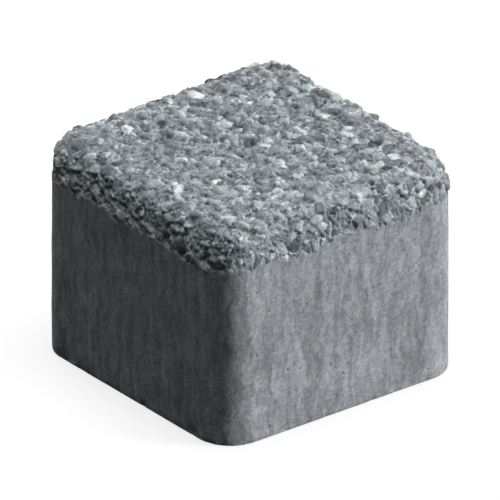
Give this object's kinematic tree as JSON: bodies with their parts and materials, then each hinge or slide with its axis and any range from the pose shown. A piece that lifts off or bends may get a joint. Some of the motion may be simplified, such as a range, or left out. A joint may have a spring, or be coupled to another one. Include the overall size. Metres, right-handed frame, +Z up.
{
  "type": "concrete paver",
  "caption": "Square block of cast concrete with a rough granular walking face, rounded arris and rounded upright edges, laid with narrow joints to pave paths, yards and drives.",
  "frame": {"origin": "centre of the bedding face, on the ground", "axes": "+Z up through the thickness to the walking face, +X along the length and +Y along the width; the stone is square in plan"},
  "size_m": [0.103, 0.103, 0.08],
  "materials": {
    "concrete": "matt, rough and speckled on the walking face, smoother on the sides"
  },
  "bodies": {
    "root": {"paver": "concrete"}
  },
  "joints": []
}
